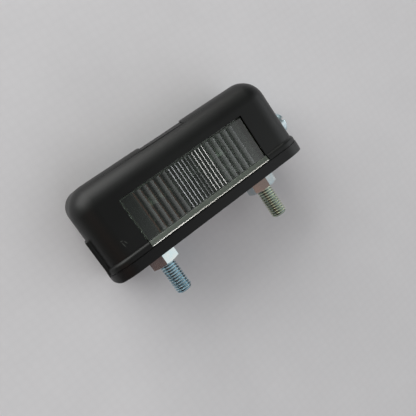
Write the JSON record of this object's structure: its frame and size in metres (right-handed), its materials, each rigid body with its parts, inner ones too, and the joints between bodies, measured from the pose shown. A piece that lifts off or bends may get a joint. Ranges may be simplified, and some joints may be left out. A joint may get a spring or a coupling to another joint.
{
  "type": "number plate lamp",
  "caption": "Small two-stud number plate lamp: black moulded hood with a fluted clear lens, screwed to a base plate over a festoon bulb.",
  "frame": {"origin": "middle of the mounting face, between the two studs", "axes": "+X along the lamp, +Y from the mounting face up the hood, against the way the studs point, +Z out of the lens window and up as the lamp lies on its back"},
  "size_m": [0.0838, 0.0488, 0.027],
  "materials": {
    "base_plastic": "moulded, slightly satin black",
    "hood_plastic": "moulded, satin black",
    "lens_clear": "clear, polished, fluted",
    "seal_rubber": "soft black rubber",
    "grommet_rubber": "soft black rubber",
    "zinc_steel": "bright zinc plate with a blue cast",
    "zinc_nut": "bright zinc plate, machined flats",
    "insert_brass": "turned brass",
    "contact_brass": "rolled spring strip",
    "bulb_glass": "clear blown glass",
    "cap_metal": "nickel plated cap",
    "filament_wire": "drawn wire"
  },
  "bodies": {
    "root": {"base_plate": "base_plastic", "hood": "hood_plastic", "lens": "lens_clear", "lens_seal": "seal_rubber", "hood_seal": "seal_rubber", "bolt_left": "zinc_steel", "bolt_right": "zinc_steel", "nut_left": "zinc_nut", "nut_right": "zinc_nut", "hood_screw": "zinc_steel", "screw_insert": "insert_brass", "cable_grommet": "grommet_rubber", "contact_left": "contact_brass", "contact_right": "contact_brass", "contact_rivet_left": "insert_brass", "contact_rivet_right": "insert_brass", "terminal_screw_left": "insert_brass", "terminal_screw_right": "insert_brass", "bulb_glass": "bulb_glass", "bulb_cap_left": "cap_metal", "bulb_cap_right": "cap_metal", "bulb_filament": "filament_wire"}
  },
  "joints": []
}
